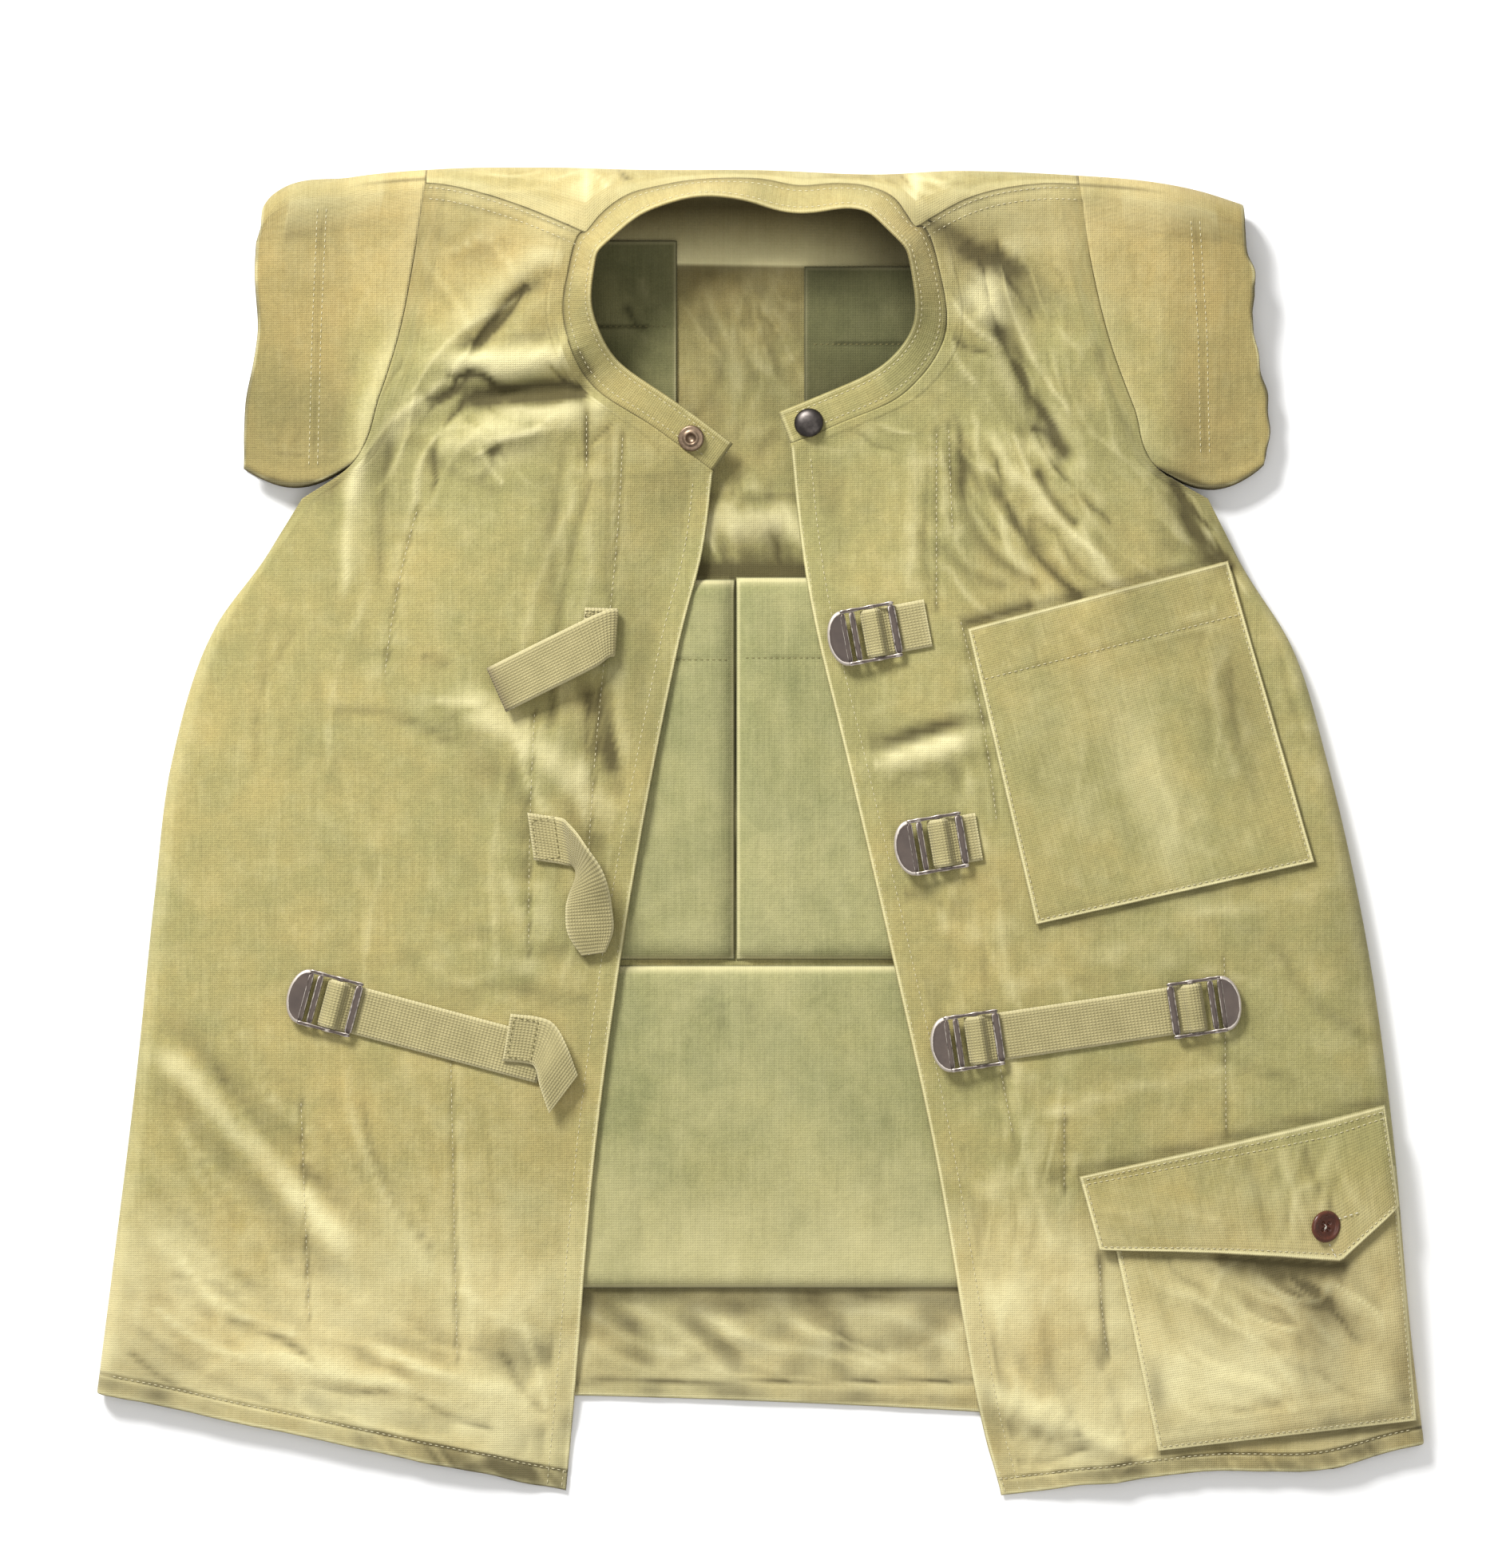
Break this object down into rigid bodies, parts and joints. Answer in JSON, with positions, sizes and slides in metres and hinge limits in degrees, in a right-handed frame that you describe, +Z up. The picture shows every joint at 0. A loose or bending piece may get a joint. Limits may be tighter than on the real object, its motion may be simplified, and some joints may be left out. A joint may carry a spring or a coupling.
{
  "type": "flak jacket",
  "caption": "Open-front armour vest of cotton cloth lying flat: parted fronts, stand collar, cap sleeves, webbing straps with ladder buckles, patch and flap pockets, inner plate pockets.",
  "frame": {"origin": "centre of the garment's footprint, on the floor it lies on", "axes": "+Z up from the floor to the fronts, +Y towards the neck, -X towards the wearer's right side"},
  "size_m": [0.666, 0.666, 0.0496],
  "materials": {
    "shell_cloth": "washed olive cotton twill, worn pale along folds and edges",
    "inner_cloth": "plain cotton pocketing, greener and smoother than the shell",
    "webbing": "herringbone cotton webbing",
    "buckle_metal": "dark lacquered steel rubbed bright along the edges",
    "snap_cap_metal": "blackened cap",
    "snap_socket_metal": "tarnished plated brass",
    "button_plastic": "dark brown moulded four-hole button"
  },
  "bodies": {
    "root": {"back": "shell_cloth", "right_front": "shell_cloth", "left_front": "shell_cloth", "right_sleeve": "shell_cloth", "left_sleeve": "shell_cloth", "collar": "shell_cloth", "inner_pocket_upper_right": "inner_cloth", "inner_pocket_upper_left": "inner_cloth", "inner_pocket_lower": "inner_cloth", "inner_pocket_shoulder_right": "inner_cloth", "inner_pocket_shoulder_left": "inner_cloth", "chest_pocket": "shell_cloth", "hip_pocket": "shell_cloth", "hip_pocket_flap": "shell_cloth", "flap_button": "button_plastic", "buckle_upper_left": "buckle_metal", "buckle_middle_left": "buckle_metal", "buckle_lower_left": "buckle_metal", "buckle_side_left": "buckle_metal", "buckle_side_right": "buckle_metal", "strap_upper_left": "webbing", "strap_middle_left": "webbing", "strap_side_left": "webbing", "strap_side_right": "webbing", "strap_top_right": "webbing", "strap_middle_right": "webbing", "strap_low_right": "webbing", "snap_socket": "snap_socket_metal", "snap_cap": "snap_cap_metal"}
  },
  "joints": []
}
